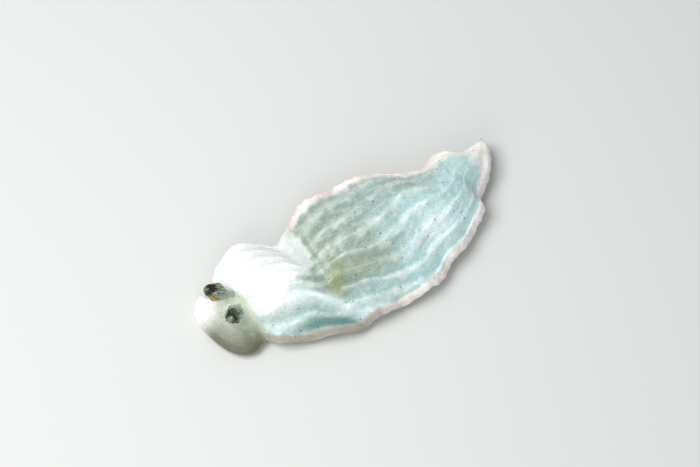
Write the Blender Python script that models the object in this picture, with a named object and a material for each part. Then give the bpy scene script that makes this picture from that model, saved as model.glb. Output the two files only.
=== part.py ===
"""Dermatobranchus fasciatus, a small ridged sea slug creeping on a level floor, at life size.

The head points to -X and the tail to +X, the animal's right side is +Y, and the sole lies on Z = 0.
Sizes are in millimetres and become metres when a mesh is finished.
"""
import math

import bmesh
import bpy
import numpy as np
from mathutils import Matrix, Vector

MM = 0.001
GAP = 0.3                    # clearance between neighbouring solids

# Mantle seen from above: where its edge runs from the front corner to the tip of the tail
LEFT_MARGIN = [(-5.45, -0.95), (-5.0, -1.6), (-4.2, -2.05), (-3.0, -2.5), (-1.9, -2.95), (-0.9, -2.95),
               (0.6, -3.1), (2.2, -3.05), (3.1, -2.6), (4.1, -2.3), (5.0, -1.8), (5.6, -1.4),
               (5.75, -0.9), (6.6, -0.25), (7.25, 0.6), (7.42, 1.15)]
RIGHT_MARGIN = [(-6.0, 2.15), (-5.4, 2.75), (-4.4, 3.06), (-3.4, 2.6), (-2.85, 2.12), (-2.0, 2.57),
                (-1.1, 3.1), (0.3, 3.1), (1.9, 2.86), (2.7, 2.52), (3.35, 1.95), (4.4, 1.78),
                (5.3, 1.9), (6.1, 1.45), (6.8, 1.4), (7.32, 1.42)]
FRONT_EDGE_HOLLOW = 0.4      # how far the middle of the front edge lies behind its corners

# Mantle height over the floor: (share of the length, height) along the midline, smooth skin
BACK_LINE = [(0.0, 1.5), (0.06, 2.15), (0.14, 2.5), (0.3, 2.65), (0.5, 2.65), (0.7, 2.35),
             (0.85, 1.85), (0.95, 1.4), (1.0, 1.05)]
EDGE_HEIGHT = 1.0
EDGE_WAVE = 0.14             # rise and fall of the edge
EDGE_WAVES = 7               # along one side
LEFT_SKIRT_DROP = 0.25       # the left side hangs lower than the right
MANTLE_THICKNESS = 0.5
EDGE_ROLL = 0.2              # rounding of the edge, above and below
FRONT_ROLL = 0.012           # shares of the length that are rounded at the front edge and at the tail tip
TIP_ROLL = 0.03

# Ridges along the back, drawn together behind the crease, then fanned out toward the tail
RIDGE_HEIGHT = 0.15
LOBE_RIDGE_HEIGHT = 0.06
RIDGES_ACROSS = 8
RIDGE_GROWTH = 0.05          # share of the length over which they rise behind the crease
RIDGE_FADE = (0.62, 0.9)     # where along the body they sink again
TAIL_RIDGE_SHARE = 0.4       # of their height, on the tail
RIDGE_SHIFT = [(0.0, 0.0), (0.28, 0.0), (0.36, -0.12), (0.45, -0.22), (0.6, -0.15), (0.74, -0.07),
               (0.89, 0.05), (1.0, 0.1)]
RIDGE_FAN = [(0.0, 0.0), (0.28, -0.15), (0.36, -0.12), (0.5, 0.1), (0.6, 0.25), (0.74, 0.33), (1.0, 0.2)]

# Crease across the back behind the front lobe
CREASE_AT = 0.285            # share of the length, on the midline
CREASE_SKEW = 0.045          # how much further back it lies at the right margin
CREASE_DEPTH = 0.4
CREASE_WIDTH = 0.035         # share of the length
CREASE_MIDDLE = 0.3          # where across the back it is deepest, from -1 left to 1 right
CREASE_REACH = 0.6

# Fold down the left side of the front half: a crest with a trough outside it
FOLD_LINE = [(0.0, -0.6), (0.14, -0.42), (0.22, -0.38), (0.27, -0.55), (0.31, -0.81), (0.36, -0.96)]
FOLD_CREST = 0.18
FOLD_TROUGH = 0.22
FOLD_WIDTH = 0.1             # shares of the half width
FOLD_END = 0.38

# Where the mantle is parted, along the crease and before the tail, and how fine it is
TAIL_START = 0.8
LENGTH_OF_EDGE = 15.0        # along one side
MANTLE_ROWS = 52
MANTLE_COLUMNS = 6 * RIDGES_ACROSS

# Trunk between mantle and foot
TRUNK_FROM = 0.045
TRUNK_TO = 0.77
TRUNK_SHARE = 0.45           # of the mantle's half width
TRUNK_EDGE = 0.2             # least thickness
PAPILLAE = {"genital": (0.17, 0.2), "anal": (0.56, 0.17)}  # share of the length, radius, on the right side

# Foot
FOOT_LINE = [(-5.4, 0.6), (-3.0, 0.2), (0.0, -0.05), (3.0, -0.15), (5.2, 0.25), (6.75, 0.85)]
FOOT_HALF_WIDTH = [(0.0, 1.0), (0.05, 1.55), (0.15, 1.75), (0.35, 2.0), (0.6, 1.95),
                   (0.8, 1.35), (0.92, 0.75), (1.0, 0.15)]
FOOT_HEIGHT = 0.45
FOOT_EDGE = 0.15             # rounding of the sole's rim
FOOT_TAPER = 0.13            # how much lower its top is at the rim
FOOT_END = (0.93, 0.15)      # from this share of the length on it sinks by this much
FOOT_TAIL_START = 0.8
LENGTH_OF_FOOT = 12.4

# Head, turned a little to the animal's left
HEAD_YAW = math.radians(15.0)
HEAD_CENTRE = (-5.95, 0.68, 0.78)
HEAD_RADII = (0.38, 1.28, 0.42)
HEAD_REAR = -5.68            # flat face toward the trunk
LIP_CENTRE = (-6.0, 0.65, 0.36)
LIP_RADIUS = 0.2
LIP_THICKNESS = 0.11

# Oral veil, a half-moon round the front of the head
VEIL_CENTRE = (-6.05, 0.45)
VEIL_REACH = 1.25            # forward
VEIL_HALF_SPAN = 1.78
VEIL_ROUNDNESS = 2.5         # 2 is an ellipse, more is squarer
VEIL_ARC = math.radians(176.0)
VEIL_INNER = (0.44, 0.82)    # its inner edge, as shares of the reach and of the half span
VEIL_ROOT = 1.0              # height at the head
VEIL_RIM = 0.62              # height at the rim
VEIL_UNDERSIDE = 0.15

# Rhinophores: ribbed clubs on short stalks, leaning forward and apart
RHINOPHORES = {"rhinophore_right": ((-5.85, 1.25), (-0.62, 0.36, 0.7)),
               "rhinophore_left": ((-5.78, 0.4), (-0.5, -0.42, 0.74))}
RHINOPHORE_GAP = 0.2         # over the head, at the middle of the root
RHINOPHORE_LENGTH = 1.1
CLUB_RADIUS = 0.32
STALK_RADIUS = 0.18
STALK_SHARE = 0.3            # of the length
LAMELLAE = 9
LAMELLA_DEPTH = 0.16         # share of the club's radius

COLOURS = {"mantle": (0.72, 0.86, 0.84), "lobe": (0.93, 0.96, 0.94), "trunk": (0.80, 0.84, 0.79),
           "foot": (0.85, 0.86, 0.80), "veil": (0.88, 0.90, 0.86), "rhinophore": (0.035, 0.04, 0.02)}


def clear_scene():
    for obj in list(bpy.data.objects):
        bpy.data.objects.remove(obj, do_unlink=True)


def material(name, colour, roughness):
    """Wet flesh: pale, slightly glossy and never metallic."""
    mat = bpy.data.materials.new(name)
    mat.use_nodes = True
    shader = mat.node_tree.nodes["Principled BSDF"]
    shader.inputs["Base Color"].default_value = (*colour, 1.0)
    shader.inputs["Roughness"].default_value = roughness
    shader.inputs["Metallic"].default_value = 0.0
    return mat


def finish(name, bm, colour, roughness=0.35):
    """Close the poles, turn the faces outward, scale to metres and make the object."""
    bmesh.ops.remove_doubles(bm, verts=bm.verts, dist=1e-4)
    bmesh.ops.recalc_face_normals(bm, faces=bm.faces)
    bmesh.ops.scale(bm, vec=(MM, MM, MM), verts=bm.verts)
    mesh = bpy.data.meshes.new(name)
    bm.to_mesh(mesh)
    bm.free()
    mesh.materials.append(material(f"{name}_flesh", colour, roughness))
    mesh.shade_smooth()
    obj = bpy.data.objects.new(name, mesh)
    bpy.context.collection.objects.link(obj)
    return obj


def curve_through(points):
    """A function of the share of the length, 0 to 1, on the smooth curve through the points."""
    p = np.array(points, dtype=float)
    p = np.vstack([2 * p[0] - p[1], p, 2 * p[-1] - p[-2]])
    t = np.linspace(0.0, 1.0, 24, endpoint=False)[:, None]
    spans = []
    for a, b, c, d in zip(p, p[1:], p[2:], p[3:]):
        spans.append(0.5 * (2 * b + (c - a) * t + (2 * a - 5 * b + 4 * c - d) * t ** 2
                            + (3 * b - a - 3 * c + d) * t ** 3))
    line = np.vstack([*spans, p[-2:-1]])
    share = np.concatenate([[0.0], np.cumsum(np.linalg.norm(np.diff(line, axis=0), axis=1))])
    share /= share[-1]

    def at(u):
        return np.array([np.interp(u, share, line[:, k]) for k in range(line.shape[1])])
    return at


def profile_through(points):
    """A smooth function of the first coordinate through (place, value) points."""
    p = np.array(points, dtype=float)
    slope = np.gradient(p[:, 1], p[:, 0])

    def at(x):
        x = min(max(x, p[0, 0]), p[-1, 0])
        i = min(int(np.searchsorted(p[:, 0], x, side="right")) - 1, len(p) - 2)
        span = p[i + 1, 0] - p[i, 0]
        s = (x - p[i, 0]) / span
        rise = s * s * (3 - 2 * s)
        return float(p[i, 1] * (1 - rise) + p[i + 1, 1] * rise
                     + slope[i] * span * s * (1 - s) ** 2 - slope[i + 1] * span * s * s * (1 - s))
    return at


def bump(distance, width):
    """A rounded rise of height 1 at distance 0."""
    return math.exp(-(distance / width) ** 2)


left_margin = curve_through(LEFT_MARGIN)
right_margin = curve_through(RIGHT_MARGIN)
back_line = profile_through(BACK_LINE)
ridge_shift = profile_through(RIDGE_SHIFT)
ridge_fan = profile_through(RIDGE_FAN)
fold_line = profile_through(FOLD_LINE)
foot_line = curve_through(FOOT_LINE)
foot_half_width = profile_through(FOOT_HALF_WIDTH)


def mantle_plan(u, v):
    """Place on the floor under the mantle: u runs from head to tail, v from left (-1) to right (1)."""
    left = left_margin(u)
    right = right_margin(u)
    spot = left + (right - left) * (v + 1) / 2
    spot[0] += FRONT_EDGE_HOLLOW * (1 - v * v) * bump(u, 0.08)
    return spot


def dome(v):
    """Cross-section of the back: 1 on the midline, 0 at the edge, where it flattens to a brim."""
    return 0.55 * (1 - v * v) + 0.45 * math.cos(math.pi * v / 2) ** 2


def half_width(u):
    return np.linalg.norm(right_margin(u) - left_margin(u)) / 2


def crease_at(v):
    """Share of the length where the crease crosses."""
    return CREASE_AT + CREASE_SKEW * v


def smooth_height(u, v):
    """The back without its ridges."""
    skirt = LEFT_SKIRT_DROP * max(0.0, -v) ** 2 * (1 - u)
    edge = EDGE_HEIGHT - skirt + EDGE_WAVE * v * v * math.sin(2 * math.pi * EDGE_WAVES * u + 1.5 * v)
    height = edge + (back_line(u) - edge) * dome(v)
    height -= CREASE_DEPTH * bump(u - crease_at(v), CREASE_WIDTH) * bump(v - CREASE_MIDDLE, CREASE_REACH)
    fade = 1 - min(1.0, u / FOLD_END) ** 4
    outward = v - fold_line(u)
    return height - FOLD_TROUGH * fade * bump(outward + 2 * FOLD_WIDTH, FOLD_WIDTH)


def across(u, lane):
    """Place across the mantle of a lane that runs along a ridge: lanes are even at the front edge."""
    return lane + (ridge_shift(u) + ridge_fan(u) * lane) * (1 - lane * lane)


def ridges(u, lane):
    """Rounded ridges with wider grooves between them, fading before the edge."""
    v = across(u, lane)
    grown = min(1.0, max(0.0, (u - crease_at(v)) / RIDGE_GROWTH))
    sunk = min(1.0, max(0.0, (u - RIDGE_FADE[0]) / (RIDGE_FADE[1] - RIDGE_FADE[0])))
    toward_tail = 1 - (1 - TAIL_RIDGE_SHARE) * sunk
    height = LOBE_RIDGE_HEIGHT + (RIDGE_HEIGHT * toward_tail - LOBE_RIDGE_HEIGHT) * grown
    crest = (0.5 + 0.5 * math.cos(math.pi * RIDGES_ACROSS * lane)) ** 1.4
    fold = FOLD_CREST * bump(v - fold_line(u), FOLD_WIDTH) * (1 - min(1.0, u / FOLD_END) ** 4)
    return (height * crest + fold) * (1 - abs(v) ** 8)


def roll(u, v):
    """How far the edge is rounded off, above and below."""
    side = max(0.0, 1 - (1 - abs(v)) * half_width(u) / EDGE_ROLL)
    front = max(0.0, 1 - u / FRONT_ROLL)
    tip = max(0.0, 1 - (1 - u) / TIP_ROLL)
    near = min(1.0, math.hypot(side, front, tip))
    return EDGE_ROLL * (1 - math.sqrt(1 - near * near))


def mantle_top(u, lane):
    v = across(u, lane)
    return (*mantle_plan(u, v), smooth_height(u, v) + ridges(u, lane) - roll(u, v))


def mantle_underside(u, lane):
    v = across(u, lane)
    return (*mantle_plan(u, v), smooth_height(u, v) - MANTLE_THICKNESS + roll(u, v))


def slab(top, underside, rows, columns):
    """A closed body between two surfaces over the unit grid, with alike triangles on both."""
    bm = bmesh.new()
    bmesh.ops.create_grid(bm, x_segments=rows, y_segments=columns, size=1.0)
    bmesh.ops.triangulate(bm, faces=bm.faces)
    upper = bmesh.ops.extrude_face_region(bm, geom=bm.faces[:])["geom"]
    raised = {g for g in upper if isinstance(g, bmesh.types.BMVert)}
    for vert in bm.verts:
        shape = top if vert in raised else underside
        vert.co = shape((vert.co.x + 1) / 2, vert.co.y)
    return bm


def crowd_edges(v):
    """Grid columns stand closer together near the edge."""
    return v * (1.14 - 0.14 * v * v)


def mantle_piece(name, start, end, colour):
    """One length of the mantle. Its start and end are shares of the length, each a function of the lane."""
    def along(u, lane):
        return start(lane) + (end(lane) - start(lane)) * u
    rows = round(MANTLE_ROWS * (end(0.0) - start(0.0)))
    bm = slab(lambda u, lane: mantle_top(along(u, lane), lane),
              lambda u, lane: mantle_underside(along(u, lane), lane), rows, MANTLE_COLUMNS)
    return finish(name, bm, COLOURS[colour])


def make_mantle():
    half_cut = GAP / 2 / LENGTH_OF_EDGE
    mantle_piece("mantle_front", lambda lane: 0.0, lambda lane: crease_at(lane) - half_cut, "lobe")
    mantle_piece("mantle_back", lambda lane: crease_at(lane) + half_cut, lambda lane: TAIL_START - half_cut,
                 "mantle")
    mantle_piece("mantle_tail", lambda lane: TAIL_START + half_cut, lambda lane: 1.0, "mantle")


def largest_shell(bm):
    """Delete every closed surface except the one with the most faces."""
    left = set(bm.faces)
    shells = []
    while left:
        stack = [left.pop()]
        shell = set(stack)
        while stack:
            for edge in stack.pop().edges:
                fresh = [face for face in edge.link_faces if face in left]
                left.difference_update(fresh)
                shell.update(fresh)
                stack.extend(fresh)
        shells.append(shell)
    shells.sort(key=len)
    for shell in shells[:-1]:
        bmesh.ops.delete(bm, geom=list(shell), context="FACES")


def fuse(obj, pieces):
    """Join closed pieces to an object as one closed body."""
    group = bpy.data.collections.new(f"{obj.name}_pieces")
    bpy.context.scene.collection.children.link(group)
    for piece in pieces:
        bpy.context.collection.objects.unlink(piece)
        group.objects.link(piece)
    union = obj.modifiers.new("union", "BOOLEAN")
    union.operation = "UNION"
    union.operand_type = "COLLECTION"
    union.collection = group
    union.solver = "EXACT"
    graph = bpy.context.evaluated_depsgraph_get()
    joined = bpy.data.meshes.new_from_object(obj.evaluated_get(graph))
    obj.modifiers.clear()
    obj.data = joined
    for piece in pieces:
        bpy.data.objects.remove(piece, do_unlink=True)
    bpy.data.collections.remove(group)
    bm = bmesh.new()
    bm.from_mesh(joined)
    largest_shell(bm)
    bm.to_mesh(joined)
    bm.free()


def make_trunk():
    """The body wall under the mantle, with the two openings' papillae on its right side."""
    def spot(u, v):
        u = TRUNK_FROM + (TRUNK_TO - TRUNK_FROM) * u
        return u, v * TRUNK_SHARE

    def top(u, v):
        u, v = spot(u, v)
        height = smooth_height(u, v) - MANTLE_THICKNESS - GAP
        return (*mantle_plan(u, v), max(height, FOOT_HEIGHT + GAP + TRUNK_EDGE))

    def underside(u, v):
        u, v = spot(u, v)
        return (*mantle_plan(u, v), FOOT_HEIGHT + GAP)

    trunk = finish("trunk", slab(top, underside, 22, 10), COLOURS["trunk"])
    papillae = []
    for name, (share, radius) in PAPILLAE.items():
        bm = bmesh.new()
        bmesh.ops.create_icosphere(bm, subdivisions=2, radius=radius)
        place = (*mantle_plan(share, TRUNK_SHARE), FOOT_HEIGHT + GAP + radius)
        bmesh.ops.translate(bm, vec=place, verts=bm.verts)
        papillae.append(finish(name, bm, COLOURS["trunk"]))
    fuse(trunk, papillae)


def make_foot():
    """The creeping sole: flat below, with a rounded rim, blunt in front and pointed behind."""
    def plan(s, t):
        here = foot_line(s)
        ahead = foot_line(min(1.0, s + 0.01)) - foot_line(max(0.0, s - 0.01))
        side = np.array([-ahead[1], ahead[0]]) / np.linalg.norm(ahead)
        return here + side * foot_half_width(s) * t

    def rim(t):
        near = max(0.0, (abs(t) - 0.84) / 0.16)
        return FOOT_EDGE * (1 - math.sqrt(1 - near * near))

    def top(s, t):
        sunk = max(0.0, (s - FOOT_END[0]) / (1 - FOOT_END[0])) ** 2 * FOOT_END[1]
        return (*plan(s, t), FOOT_HEIGHT - FOOT_TAPER * t ** 4 - rim(t) - sunk)

    def underside(s, t):
        return (*plan(s, t), rim(t))

    def piece(name, start, end, rows):
        def along(s):
            return start + (end - start) * s
        bm = slab(lambda s, t: top(along(s), crowd_edges(t)),
                  lambda s, t: underside(along(s), crowd_edges(t)), rows, 12)
        finish(name, bm, COLOURS["foot"])

    half_cut = GAP / 2 / LENGTH_OF_FOOT
    piece("foot", 0.0, FOOT_TAIL_START - half_cut, 22)
    piece("foot_tail", FOOT_TAIL_START + half_cut, 1.0, 8)


def head_surface(x, y):
    """Height of the top of the head over a place on the floor."""
    away = Vector((x, y)) - Vector(HEAD_CENTRE[:2])
    away.rotate(Matrix.Rotation(-HEAD_YAW, 2))
    inside = 1 - (away.x / HEAD_RADII[0]) ** 2 - (away.y / HEAD_RADII[1]) ** 2
    return HEAD_CENTRE[2] + HEAD_RADII[2] * math.sqrt(max(0.0, inside))


def make_head():
    """A broad low head with a flat face toward the trunk and a ring of lips below."""
    bm = bmesh.new()
    bmesh.ops.create_uvsphere(bm, u_segments=28, v_segments=16, radius=1.0)
    bmesh.ops.scale(bm, vec=HEAD_RADII, verts=bm.verts)
    bmesh.ops.rotate(bm, cent=(0, 0, 0), matrix=Matrix.Rotation(HEAD_YAW, 3, "Z"), verts=bm.verts)
    bmesh.ops.translate(bm, vec=HEAD_CENTRE, verts=bm.verts)
    for vert in bm.verts:
        vert.co.x = min(vert.co.x, HEAD_REAR)
    head = finish("head", bm, COLOURS["lobe"])

    bm = bmesh.new()
    circle = bmesh.ops.create_circle(bm, segments=10, radius=LIP_THICKNESS)["verts"]
    bmesh.ops.rotate(bm, cent=(0, 0, 0), matrix=Matrix.Rotation(math.pi / 2, 3, "X"), verts=circle)
    bmesh.ops.translate(bm, vec=(LIP_RADIUS, 0, 0), verts=circle)
    bmesh.ops.spin(bm, geom=bm.verts[:] + bm.edges[:], cent=(0, 0, 0), axis=(0, 0, 1),
                   angle=2 * math.pi, steps=20, use_merge=True)
    bmesh.ops.translate(bm, vec=LIP_CENTRE, verts=bm.verts)
    fuse(head, [finish("lips", bm, COLOURS["lobe"])])


def make_veil():
    """The oral veil: a half-moon flap, high at the head and low at its rim."""
    forward = Vector((-math.cos(HEAD_YAW), -math.sin(HEAD_YAW)))
    sideways = Vector((-math.sin(HEAD_YAW), math.cos(HEAD_YAW)))

    def place(s, t):
        angle = (s - 0.5) * VEIL_ARC
        along = abs(math.cos(angle)) ** (2 / VEIL_ROUNDNESS)
        sideward = math.copysign(abs(math.sin(angle)) ** (2 / VEIL_ROUNDNESS), angle)
        outer = Vector((along * VEIL_REACH, sideward * VEIL_HALF_SPAN))
        inner = outer * Vector(VEIL_INNER)
        spot = inner.lerp(outer, (t + 1) / 2)
        return Vector(VEIL_CENTRE) + forward * spot.x + sideways * spot.y

    def edge(s, t):
        near = max(0.0, t - 0.5) / 0.5
        end = max(0.0, abs(s - 0.5) - 0.47) / 0.03
        far = min(1.0, math.hypot(near, end))
        return 0.2 * (1 - math.sqrt(1 - far * far))

    def top(s, t):
        height = VEIL_ROOT + (VEIL_RIM - VEIL_ROOT) * (t + 1) / 2
        return (*place(s, t), height - edge(s, t))

    def underside(s, t):
        return (*place(s, t), VEIL_UNDERSIDE + edge(s, t))

    finish("oral_veil", slab(top, underside, 28, 8), COLOURS["veil"])


def make_rhinophores():
    """Each is a stalk with a ribbed club, its root facing the head."""
    for name, (root, lean) in RHINOPHORES.items():
        bm = bmesh.new()
        bmesh.ops.create_uvsphere(bm, u_segments=4 * LAMELLAE, v_segments=14, radius=1.0)
        for vert in bm.verts:
            share = math.acos(max(-1.0, min(1.0, -vert.co.z))) / math.pi
            angle = math.atan2(vert.co.y, vert.co.x)
            club = max(0.0, (share - STALK_SHARE) / (1 - STALK_SHARE))
            radius = STALK_RADIUS * min(1.0, share / 0.08)
            if club > 0:
                swell = math.sin(math.pi * min(1.0, 0.18 + 0.82 * club)) ** 0.6
                rib = 1 - LAMELLA_DEPTH * (0.5 + 0.5 * math.cos(LAMELLAE * angle)) * min(1.0, 4 * club)
                radius = max(STALK_RADIUS * (1 - club), CLUB_RADIUS * swell * rib)
            if share >= 1.0:
                radius = 0.0
            vert.co = (radius * math.cos(angle), radius * math.sin(angle), share * RHINOPHORE_LENGTH)
        turn = Vector((0, 0, 1)).rotation_difference(Vector(lean)).to_matrix()
        bmesh.ops.rotate(bm, cent=(0, 0, 0), matrix=turn, verts=bm.verts)
        bmesh.ops.translate(bm, vec=(*root, head_surface(*root) + RHINOPHORE_GAP), verts=bm.verts)
        finish(name, bm, COLOURS["rhinophore"], roughness=0.2)


def main():
    clear_scene()
    make_mantle()
    make_trunk()
    make_foot()
    make_head()
    make_veil()
    make_rhinophores()


main()
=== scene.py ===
"""The living look of a small ridged sea slug, Dermatobranchus fasciatus, creeping on a pale floor.

The head points to -X, the tail to +X, the animal's right side is +Y and the sole lies on Z = 0.
Shapes are worked out in millimetres and become metres when a mesh is finished.
"""
import math
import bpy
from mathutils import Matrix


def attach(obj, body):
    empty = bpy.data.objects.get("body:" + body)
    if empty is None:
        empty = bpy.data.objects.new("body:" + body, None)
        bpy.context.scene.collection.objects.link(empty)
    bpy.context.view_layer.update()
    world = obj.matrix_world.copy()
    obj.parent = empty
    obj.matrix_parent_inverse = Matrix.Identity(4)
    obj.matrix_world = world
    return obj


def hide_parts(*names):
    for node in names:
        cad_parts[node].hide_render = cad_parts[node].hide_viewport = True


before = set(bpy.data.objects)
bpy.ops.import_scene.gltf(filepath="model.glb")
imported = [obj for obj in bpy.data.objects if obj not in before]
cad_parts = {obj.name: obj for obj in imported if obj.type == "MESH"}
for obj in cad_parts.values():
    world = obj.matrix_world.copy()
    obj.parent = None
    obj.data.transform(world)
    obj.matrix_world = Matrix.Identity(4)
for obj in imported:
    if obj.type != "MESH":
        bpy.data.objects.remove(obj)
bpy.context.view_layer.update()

from types import SimpleNamespace

import bmesh
import bpy
import numpy as np
from bpy.props import FloatProperty, FloatVectorProperty, IntProperty, PointerProperty
from bpy.types import Operator, Panel, PropertyGroup
from mathutils import Matrix, Vector

bl_info = {
    "name": "Ridged sea slug",
    "version": (1, 0, 0),
    "blender": (4, 5, 0),
    "location": "View3D > Sidebar > Sea slug",
    "description": "Builds the skin, rhinophores and studio of a small ridged sea slug",
    "category": "Add Mesh",
}

MM = 0.001
FLESH_NODES = ["mantle_front", "mantle_back", "mantle_tail", "trunk", "foot", "foot_tail", "head",
               "oral_veil"]

# Mantle seen from above: where its edge runs from the front corner to the tip of the tail
LEFT_MARGIN = [(-5.45, -0.95), (-5.0, -1.6), (-4.2, -2.05), (-3.0, -2.5), (-1.9, -2.95), (-0.9, -2.95),
               (0.6, -3.1), (2.2, -3.05), (3.1, -2.6), (4.1, -2.3), (5.0, -1.8), (5.6, -1.4),
               (5.75, -0.9), (6.6, -0.25), (7.25, 0.6), (7.42, 1.15)]
RIGHT_MARGIN = [(-6.0, 2.15), (-5.4, 2.75), (-4.4, 3.06), (-3.4, 2.6), (-2.85, 2.12), (-2.0, 2.57),
                (-1.1, 3.1), (0.3, 3.1), (1.9, 2.86), (2.7, 2.52), (3.35, 1.95), (4.4, 1.78),
                (5.3, 1.9), (6.1, 1.45), (6.8, 1.4), (7.32, 1.42)]
FRONT_EDGE_HOLLOW = 0.4

# Mantle height over the floor: (share of the length, height) along the midline, smooth skin
BACK_LINE = [(0.0, 1.5), (0.06, 2.15), (0.14, 2.5), (0.3, 2.65), (0.5, 2.65), (0.7, 2.35),
             (0.85, 1.85), (0.95, 1.4), (1.0, 1.05)]
EDGE_HEIGHT = 1.0
EDGE_WAVE = 0.14
EDGE_WAVES = 7
LEFT_SKIRT_DROP = 0.25
EDGE_ROLL = 0.2
FRONT_ROLL = 0.012
TIP_ROLL = 0.03
EDGE_THINNING = 0.35         # share of the thickness that is missing at the rim
SCALLOP = 0.035              # small lobes of the rim
LIP_RISE = 0.05              # the rim is a raised lip with a shallow gutter inside it

# Ridges along the back, drawn together behind the crease, then fanned out toward the tail
RIDGES_ACROSS = 8
RIDGE_GROWTH = 0.05
RIDGE_FADE = (0.62, 0.9)
TAIL_RIDGE_SHARE = 0.4
RIDGE_SHIFT = [(0.0, 0.0), (0.28, 0.0), (0.36, -0.12), (0.45, -0.22), (0.6, -0.15), (0.74, -0.07),
               (0.89, 0.05), (1.0, 0.1)]
RIDGE_FAN = [(0.0, 0.0), (0.28, -0.15), (0.36, -0.12), (0.5, 0.1), (0.6, 0.25), (0.74, 0.33), (1.0, 0.2)]

# Crease across the back behind the front lobe
CREASE_AT = 0.285
CREASE_SKEW = 0.045
CREASE_DEPTH = 0.4
CREASE_WIDTH = 0.035
CREASE_MIDDLE = 0.3
CREASE_REACH = 0.6

# Fold down the left side of the front half: a crest with a trough outside it
FOLD_LINE = [(0.0, -0.6), (0.14, -0.42), (0.22, -0.38), (0.27, -0.55), (0.31, -0.81), (0.36, -0.96)]
FOLD_CREST = 0.18
FOLD_TROUGH = 0.22
FOLD_WIDTH = 0.1
FOLD_END = 0.38

# Markings of the skin, in shares of the length and of the half width
OLIVE_BEHIND_CREASE = 0.045
LOBE_SPREAD = 0.11           # how much further forward the white of the lobe ends on the left
PALE_HEAD = (-5.6, 0.35)     # the pale place between the rhinophores
RIM_WIDER_RIGHT = 0.9
RIM_WIDER_TAIL = 0.5
RIM_SOFTNESS = (0.6, 1.15)   # where the rim's colour starts to fade and ends, in widths of the rim

# Foot and trunk
FOOT_LINE = [(-5.4, 0.6), (-3.0, 0.2), (0.0, -0.05), (3.0, -0.15), (5.2, 0.25), (6.75, 0.85)]
FOOT_HALF_WIDTH = [(0.0, 1.0), (0.05, 1.55), (0.15, 1.75), (0.35, 2.0), (0.6, 1.95),
                   (0.8, 1.35), (0.92, 0.75), (1.0, 0.15)]
FOOT_HEIGHT = 0.45
FOOT_EDGE = 0.15
FOOT_TAPER = 0.13
FOOT_END = (0.93, 0.15)
FOOT_RIM = 0.84              # where the rounding of its sides starts, as a share of the half width
FOOT_END_ROLL = 0.015
TRUNK_START = 0.02
TRUNK_LENGTH = 0.86
TRUNK_SHARE = 0.45
TRUNK_FLARE = 1.15           # how much wider it is where it meets the foot
TRUNK_LOW = 0.25
PAPILLAE = {"genital": (0.17, 0.2), "anal": (0.56, 0.17)}    # share of the length, radius
PAPILLA_HEIGHT = 0.75

# Head, oral veil and lips
HEAD_YAW = math.radians(15.0)
HEAD_CENTRE = (-5.95, 0.68, 0.78)
LIP_CENTRE = (-6.0, 0.65, 0.36)
LIP_RADIUS = 0.2
LIP_THICKNESS = 0.11
# Swellings of the head: (place from its centre, radii) of the head, the neck and the veil's left root
HEAD_LUMPS = [((0.15, 0.0, 0.0), (0.63, 1.28, 0.42)), ((0.5, -0.25, -0.1), (0.6, 1.45, 0.55)),
              ((0.35, -1.3, -0.3), (0.42, 0.62, 0.36))]
SHEATH_RADII = (0.36, 0.36, 0.24)
SHEATH_HEIGHT = 1.16
SHEATH_LEAN = 0.06
VEIL_CENTRE = (-6.05, 0.45)
VEIL_REACH = 1.25
VEIL_HALF_SPAN = 1.78
VEIL_ROUNDNESS = 2.5
VEIL_ARC = math.radians(176.0)
VEIL_INNER = (0.1, 0.15)     # its inner edge, as shares of the reach and of the half span
VEIL_ROOT = 1.0
VEIL_RIM = 0.62
VEIL_UNDERSIDE = 0.15
VEIL_ROLL = 0.22
VEIL_WAVE = 0.03

# Rhinophores: (foot of the stalk on the floor plan, direction of lean)
RHINOPHORES = {"rhinophore_right": ((-5.85, 1.25), (-0.62, 0.36, 0.7)),
               "rhinophore_left": ((-5.78, 0.4), (-0.5, -0.42, 0.74))}
ROOT_HEIGHT = 1.34           # of the middle of the stalk's foot
ROOT_DEPTH = 0.4             # how far the stalk runs on down into the head
STALK_SHARE = 0.12           # of the length
STALK_RADIUS = 0.19
LAMELLA_DEPTH = 0.35         # share of the club's radius
AMBER_SIDE = (-0.3, -0.95)   # the side of the right club that is amber
FACES_PER_LAMELLA = 12
TIP_RING = 0.86              # where the dark ring runs, as a share of the club

# How fine the meshes are
SKIN_ROWS = 230
LANES_PER_RIDGE = 20
FOOT_GRID = (160, 50)
TRUNK_GRID = (90, 30)
VEIL_GRID = (90, 30)
BODY_GRAIN = 0.07            # size of a facet on the trunk, foot, head and veil
MOST_TRIANGLES = 199000

# Sizes of the patterns in the flesh
MOTTLE = 0.9
PATCH = 0.32
GRAIN = 0.11                 # the skin's own grain is finer; this coarse it still shows in the picture
SPECK_SPACING = 0.3
SPECKLESS = 0.64             # share of the places that could hold a speck and don't
CLUB_PATCH = 0.3
CLUB_FLECK = 0.09

# Camera and light: the photograph looks down on the back, with the head at the lower left
CAMERA_TARGET = (0.1, 0.8, 1.0)
CAMERA_AZIMUTH = math.radians(-32.8)
CAMERA_HEIGHT_ANGLE = math.radians(70.0)
CAMERA_DISTANCE = 83.1
CAMERA_LENS = 100.0
CAMERA_SENSOR = 36.0
# Each lamp: the way to it, its distance and its size
LAMPS = {"key": ((-0.4, 0.2, 1.0), 80.0, 45.0), "fill": ((-0.8, -0.7, 0.5), 90.0, 70.0)}
SKY = (0.9, 0.95, 1.0, 1.0)
SKY_STRENGTH = 0.45
FLOOR_HALF_SIDE = 400.0

# Sockets of the node that mixes two colours, which share their names with others on it
MIX_SHARE, MIX_UNDER, MIX_OVER, MIX_RESULT = 0, 6, 7, 2


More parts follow.
